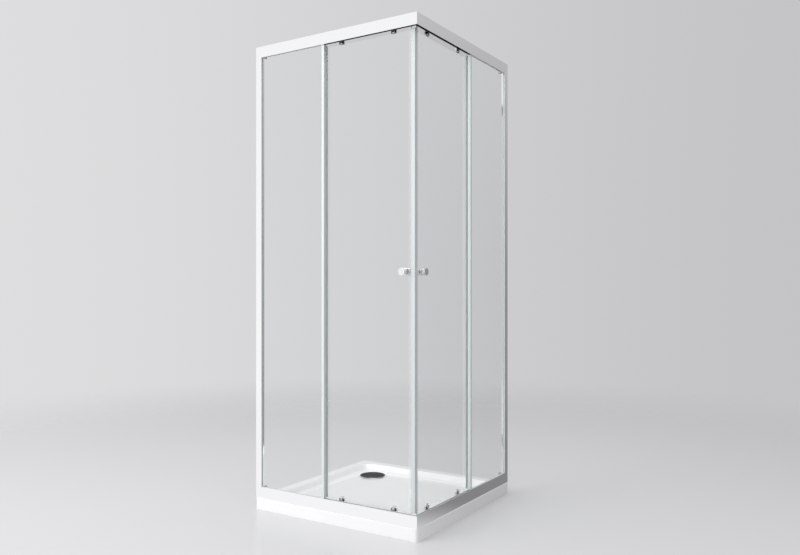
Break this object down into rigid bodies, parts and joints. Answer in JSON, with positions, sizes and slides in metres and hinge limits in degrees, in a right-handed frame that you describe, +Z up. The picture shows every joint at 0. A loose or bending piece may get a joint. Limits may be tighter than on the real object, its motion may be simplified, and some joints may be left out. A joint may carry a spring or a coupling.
{
  "type": "corner shower enclosure",
  "caption": "Square corner shower enclosure on a low tray, with fixed glass panes at the walls, two glass doors sliding on rollers to meet at the corner, and a round waste.",
  "frame": {"origin": "middle of the tray's base, on the floor", "axes": "+Z up; the walls stand at the tray's -X and +Y sides; the entry corner is at +X, -Y"},
  "size_m": [0.8, 0.8, 1.95],
  "materials": {
    "tray_acrylic": "gloss white acrylic on cast resin",
    "chrome_profile": "polished chrome",
    "clear_glass": "clear toughened glass",
    "clear_seal": "translucent vinyl",
    "black_rubber": "black rubber",
    "roller_nylon": "white nylon",
    "grey_plastic": "grey moulded plastic",
    "chrome_fitting": "polished chrome",
    "steel": "stainless steel",
    "die_cast": "die-cast bracket"
  },
  "bodies": {
    "enclosure": {"shower_tray": "tray_acrylic", "waste_flange": "chrome_fitting", "waste_seals": "black_rubber", "waste_nut": "grey_plastic", "waste_cover": "chrome_fitting", "corner_brackets": "die_cast", "end_connectors": "die_cast", "rail_end_caps": "grey_plastic", "door_stops": "black_rubber", "frame_screws": "steel", "left_wall_channel": "chrome_profile", "left_jamb": "chrome_profile", "left_top_rail": "chrome_profile", "left_bottom_rail": "chrome_profile", "left_fixed_glass": "clear_glass", "left_glazing_gasket": "clear_seal", "left_fixed_edge_seal": "clear_seal", "right_wall_channel": "chrome_profile", "right_jamb": "chrome_profile", "right_top_rail": "chrome_profile", "right_bottom_rail": "chrome_profile", "right_fixed_glass": "clear_glass", "right_glazing_gasket": "clear_seal", "right_fixed_edge_seal": "clear_seal"},
    "left_door": {"left_door_glass": "clear_glass", "left_door_rear_seal": "clear_seal", "left_door_magnet_seal": "clear_seal", "left_outer_knob": "chrome_fitting", "left_inner_knob": "chrome_fitting", "left_knob_washers": "clear_seal", "left_top_brackets": "chrome_fitting", "left_carriages": "chrome_fitting", "left_roller_screws": "chrome_fitting", "left_front_spring": "steel", "left_rear_spring": "steel"},
    "left_front_top_wheel": {"left_front_top_wheel": "roller_nylon"},
    "left_front_bottom_wheel": {"left_front_bottom_wheel": "roller_nylon"},
    "left_front_slider": {"left_front_slider": "grey_plastic"},
    "left_rear_top_wheel": {"left_rear_top_wheel": "roller_nylon"},
    "left_rear_bottom_wheel": {"left_rear_bottom_wheel": "roller_nylon"},
    "left_rear_slider": {"left_rear_slider": "grey_plastic"},
    "right_door": {"right_door_glass": "clear_glass", "right_door_rear_seal": "clear_seal", "right_door_magnet_seal": "clear_seal", "right_outer_knob": "chrome_fitting", "right_inner_knob": "chrome_fitting", "right_knob_washers": "clear_seal", "right_top_brackets": "chrome_fitting", "right_carriages": "chrome_fitting", "right_roller_screws": "chrome_fitting", "right_front_spring": "steel", "right_rear_spring": "steel"},
    "right_front_top_wheel": {"right_front_top_wheel": "roller_nylon"},
    "right_front_bottom_wheel": {"right_front_bottom_wheel": "roller_nylon"},
    "right_front_slider": {"right_front_slider": "grey_plastic"},
    "right_rear_top_wheel": {"right_rear_top_wheel": "roller_nylon"},
    "right_rear_bottom_wheel": {"right_rear_bottom_wheel": "roller_nylon"},
    "right_rear_slider": {"right_rear_slider": "grey_plastic"}
  },
  "joints": [
    {"name": "left_door_slide", "type": "slide", "parent": "enclosure", "child": "left_door", "axis": [-1, 0, 0], "range_m": [0, 0.315]},
    {"name": "left_front_release", "type": "slide", "parent": "left_door", "child": "left_front_slider", "axis": [0, 0, -1], "range_m": [0, 0.0035], "stiffness_N_per_m": 600, "springref_m": -0.004, "deforming": ["left_front_spring"]},
    {"name": "left_front_top_wheel_roll", "type": "hinge", "parent": "left_door", "child": "left_front_top_wheel", "pos_m": [0.28, -0.3802, 1.9344], "axis": [0, 1, 0], "continuous": true},
    {"name": "left_front_bottom_wheel_roll", "type": "hinge", "parent": "left_front_slider", "child": "left_front_bottom_wheel", "pos_m": [0.28, -0.3802, 0.0656], "axis": [0, 1, 0], "continuous": true},
    {"name": "left_rear_release", "type": "slide", "parent": "left_door", "child": "left_rear_slider", "axis": [0, 0, -1], "range_m": [0, 0.0035], "stiffness_N_per_m": 600, "springref_m": -0.004, "deforming": ["left_rear_spring"]},
    {"name": "left_rear_top_wheel_roll", "type": "hinge", "parent": "left_door", "child": "left_rear_top_wheel", "pos_m": [0.035, -0.3802, 1.9344], "axis": [0, 1, 0], "continuous": true},
    {"name": "left_rear_bottom_wheel_roll", "type": "hinge", "parent": "left_rear_slider", "child": "left_rear_bottom_wheel", "pos_m": [0.035, -0.3802, 0.0656], "axis": [0, 1, 0], "continuous": true},
    {"name": "right_door_slide", "type": "slide", "parent": "enclosure", "child": "right_door", "axis": [0, 1, 0], "range_m": [0, 0.315]},
    {"name": "right_front_release", "type": "slide", "parent": "right_door", "child": "right_front_slider", "axis": [0, 0, -1], "range_m": [0, 0.0035], "stiffness_N_per_m": 600, "springref_m": -0.004, "deforming": ["right_front_spring"]},
    {"name": "right_front_top_wheel_roll", "type": "hinge", "parent": "right_door", "child": "right_front_top_wheel", "pos_m": [0.3802, -0.28, 1.9344], "axis": [1, 0, 0], "continuous": true},
    {"name": "right_front_bottom_wheel_roll", "type": "hinge", "parent": "right_front_slider", "child": "right_front_bottom_wheel", "pos_m": [0.3802, -0.28, 0.0656], "axis": [1, 0, 0], "continuous": true},
    {"name": "right_rear_release", "type": "slide", "parent": "right_door", "child": "right_rear_slider", "axis": [0, 0, -1], "range_m": [0, 0.0035], "stiffness_N_per_m": 600, "springref_m": -0.004, "deforming": ["right_rear_spring"]},
    {"name": "right_rear_top_wheel_roll", "type": "hinge", "parent": "right_door", "child": "right_rear_top_wheel", "pos_m": [0.3802, -0.035, 1.9344], "axis": [1, 0, 0], "continuous": true},
    {"name": "right_rear_bottom_wheel_roll", "type": "hinge", "parent": "right_rear_slider", "child": "right_rear_bottom_wheel", "pos_m": [0.3802, -0.035, 0.0656], "axis": [1, 0, 0], "continuous": true}
  ],
  "couplings": [
    {"joint": "left_front_top_wheel_roll", "follows": "left_door_slide", "rad_per_m": -133.33},
    {"joint": "left_front_bottom_wheel_roll", "follows": "left_door_slide", "rad_per_m": 133.33},
    {"joint": "left_rear_top_wheel_roll", "follows": "left_door_slide", "rad_per_m": -133.33},
    {"joint": "left_rear_bottom_wheel_roll", "follows": "left_door_slide", "rad_per_m": 133.33},
    {"joint": "right_front_top_wheel_roll", "follows": "right_door_slide", "rad_per_m": -133.33},
    {"joint": "right_front_bottom_wheel_roll", "follows": "right_door_slide", "rad_per_m": 133.33},
    {"joint": "right_rear_top_wheel_roll", "follows": "right_door_slide", "rad_per_m": -133.33},
    {"joint": "right_rear_bottom_wheel_roll", "follows": "right_door_slide", "rad_per_m": 133.33}
  ]
}
